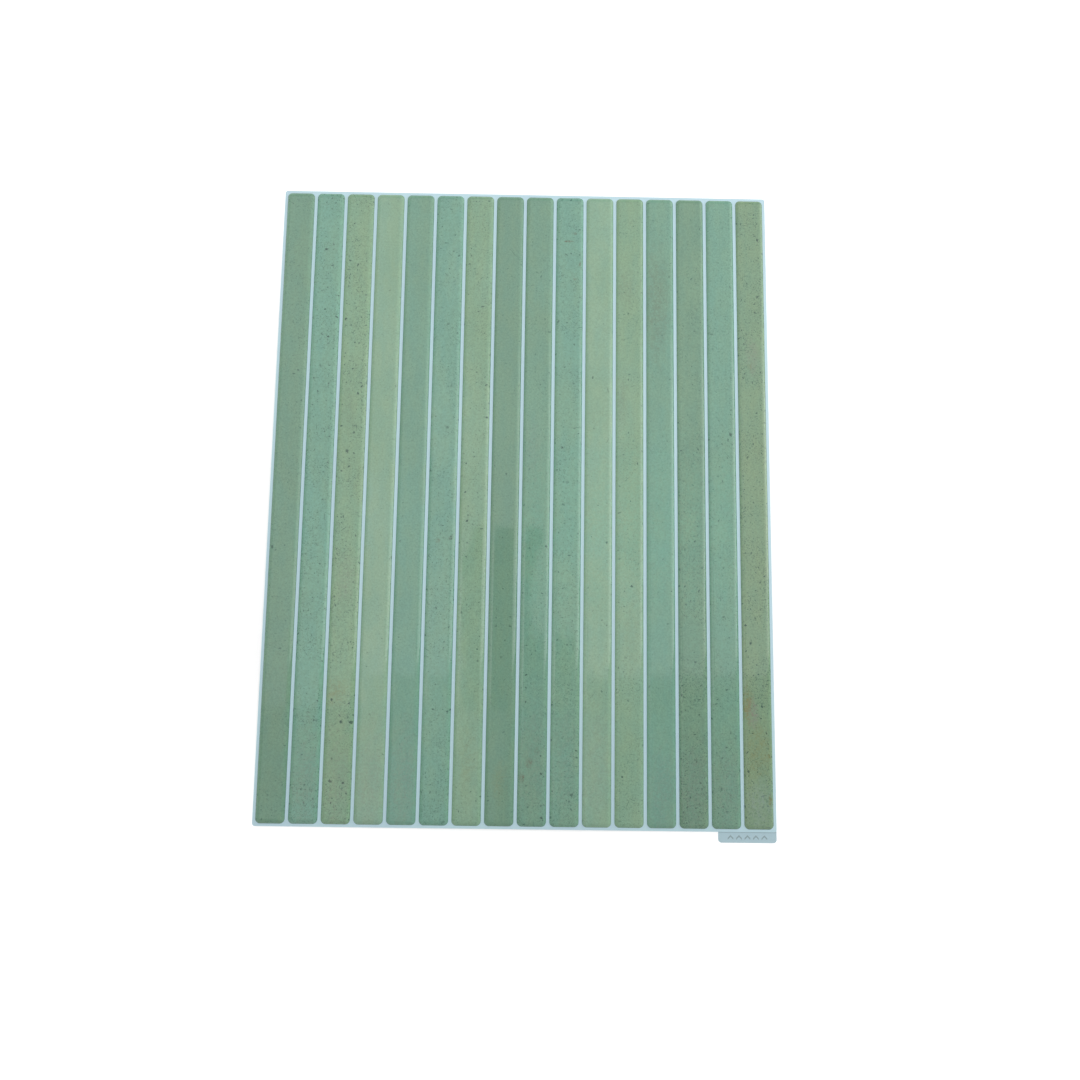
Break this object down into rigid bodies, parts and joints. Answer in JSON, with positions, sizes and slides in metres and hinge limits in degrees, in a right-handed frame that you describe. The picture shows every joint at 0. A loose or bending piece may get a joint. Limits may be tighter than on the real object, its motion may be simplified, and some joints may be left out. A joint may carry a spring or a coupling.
{
  "type": "peel and stick backsplash tile",
  "caption": "Flexible self-adhesive wall tile sheet: long domed green gel strips on a pale film, with a release liner and peel tab behind.",
  "frame": {"origin": "centre of the tiled sheet, on the underside of its release liner", "axes": "+X across the strips, +Y along the strips and away from the peel tab, +Z out of the glazed face; the peel tab is at the +X, -Y corner"},
  "size_m": [0.2284, 0.2975, 0.0015],
  "materials": {
    "liner_paper": "matte",
    "pale_film": "satin",
    "glaze_jade": "gloss",
    "glaze_fern": "gloss",
    "glaze_moss": "gloss",
    "glaze_celery": "gloss",
    "glaze_sage": "gloss",
    "glaze_olive": "gloss"
  },
  "bodies": {
    "root": {"release_liner": "liner_paper", "printed_film": "pale_film", "gel_strip_01": "glaze_fern", "gel_strip_02": "glaze_jade", "gel_strip_03": "glaze_celery", "gel_strip_04": "glaze_sage", "gel_strip_05": "glaze_jade", "gel_strip_06": "glaze_jade", "gel_strip_07": "glaze_celery", "gel_strip_08": "glaze_moss", "gel_strip_09": "glaze_fern", "gel_strip_10": "glaze_jade", "gel_strip_11": "glaze_sage", "gel_strip_12": "glaze_celery", "gel_strip_13": "glaze_jade", "gel_strip_14": "glaze_moss", "gel_strip_15": "glaze_fern", "gel_strip_16": "glaze_olive"}
  },
  "joints": []
}
